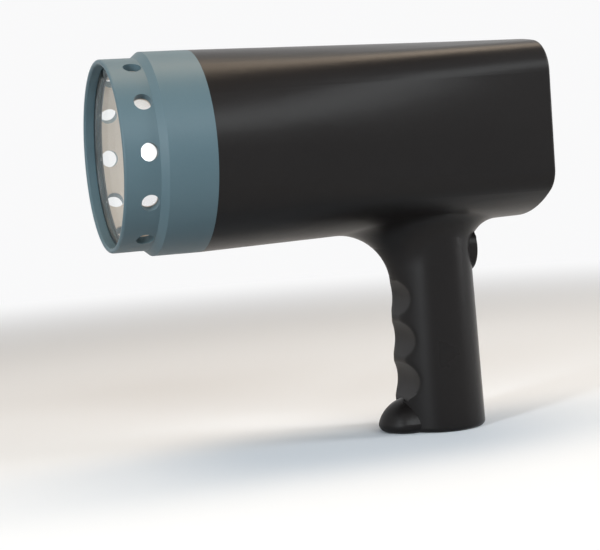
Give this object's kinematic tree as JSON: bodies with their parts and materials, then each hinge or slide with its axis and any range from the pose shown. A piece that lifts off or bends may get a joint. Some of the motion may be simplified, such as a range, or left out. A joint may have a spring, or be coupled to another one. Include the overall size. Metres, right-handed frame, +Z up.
{
  "type": "xenon stroboscope",
  "caption": "Hand-held xenon stroboscope for demonstrations: round lamp head with vents and window, oval grip, rear panel with display, keys, knobs and jack.",
  "frame": {"origin": "middle of the handle's flat base", "axes": "+X from the lamp to the control panel, +Y to the right of a person who looks at the panel, +Z up along the handle"},
  "size_m": [0.2424, 0.104, 0.2105],
  "materials": {
    "housing_black": "satin black moulding",
    "hood_grey": "satin grey-green moulding",
    "knob_grey": "satin grey-green moulding",
    "key_cream": "satin pale key caps",
    "window": "clear glass",
    "lens": "clear acrylic",
    "lcd": "liquid crystal cell",
    "rubber_black": "matt",
    "sleeve_beige": "satin",
    "mirror_metal": "bright spun",
    "sink_metal": "extruded",
    "spring_steel": "blackened spring steel",
    "zinc_steel": "zinc plated",
    "core_steel": "varnished laminations",
    "winding_copper": "enamelled copper under tape",
    "nickel": "nickel plated",
    "ceramic": "white ceramic",
    "board_green": "circuit board",
    "black_plastic": "black parts",
    "capacitor_sleeve": "sleeved cans"
  },
  "bodies": {
    "instrument": {"left_housing": "housing_black", "right_housing": "housing_black", "lamp_hood": "hood_grey", "rear_panel": "hood_grey", "window_glass": "window", "flash_tube": "window", "display_window": "lens", "display_glass": "lcd", "window_gasket": "rubber_black", "vent_sleeve": "sleeve_beige", "reflector": "mirror_metal", "heat_sink": "sink_metal", "window_retaining_ring": "spring_steel", "carrier_screws": "zinc_steel", "housing_screws": "zinc_steel", "display_screws": "zinc_steel", "board_screws": "zinc_steel", "strap_screws": "zinc_steel", "transformer_strap": "zinc_steel", "transformer_core": "core_steel", "transformer_winding": "winding_copper", "tube_electrodes": "nickel", "trigger_band": "nickel", "potentiometer_nuts": "nickel", "switch_terminals": "nickel", "inlet_pins": "nickel", "lamp_base": "ceramic", "power_board": "board_green", "display_board": "board_green", "reflector_carrier": "black_plastic", "display_frame": "black_plastic", "control_chip": "black_plastic", "tact_switches": "black_plastic", "trigger_jack": "black_plastic", "power_switch": "black_plastic", "mains_inlet": "black_plastic", "power_transistor": "black_plastic", "trigger_transformer": "black_plastic", "fine_potentiometer": "black_plastic", "coarse_potentiometer": "black_plastic", "discharge_capacitors": "capacitor_sleeve"},
    "fine_knob": {"fine_knob": "knob_grey", "fine_shaft": "nickel"},
    "coarse_knob": {"coarse_knob": "knob_grey", "coarse_shaft": "nickel"},
    "key_upper_left": {"key_upper_left": "key_cream"},
    "key_upper_right": {"key_upper_right": "key_cream"},
    "key_lower_left": {"key_lower_left": "key_cream"},
    "key_lower_right": {"key_lower_right": "key_cream"},
    "power_rocker": {"power_rocker": "black_plastic"}
  },
  "joints": [
    {"name": "fine_turn", "type": "hinge", "parent": "instrument", "child": "fine_knob", "pos_m": [0.056, 0.0048, 0.1405], "axis": [1, 0, 0], "range_deg": [-150, 150]},
    {"name": "coarse_turn", "type": "hinge", "parent": "instrument", "child": "coarse_knob", "pos_m": [0.056, 0.0296, 0.1405], "axis": [1, 0, 0], "range_deg": [-150, 150]},
    {"name": "key_upper_left_press", "type": "slide", "parent": "instrument", "child": "key_upper_left", "axis": [-1, 0, 0], "range_m": [0, 0.0006], "stiffness_N_per_m": 600},
    {"name": "key_upper_right_press", "type": "slide", "parent": "instrument", "child": "key_upper_right", "axis": [-1, 0, 0], "range_m": [0, 0.0006], "stiffness_N_per_m": 600},
    {"name": "key_lower_left_press", "type": "slide", "parent": "instrument", "child": "key_lower_left", "axis": [-1, 0, 0], "range_m": [0, 0.0006], "stiffness_N_per_m": 600},
    {"name": "key_lower_right_press", "type": "slide", "parent": "instrument", "child": "key_lower_right", "axis": [-1, 0, 0], "range_m": [0, 0.0006], "stiffness_N_per_m": 600},
    {"name": "rocker_tip", "type": "hinge", "parent": "instrument", "child": "power_rocker", "pos_m": [0.0204, 0, 0.097], "axis": [0, 1, 0], "range_deg": [-28, 0]}
  ]
}
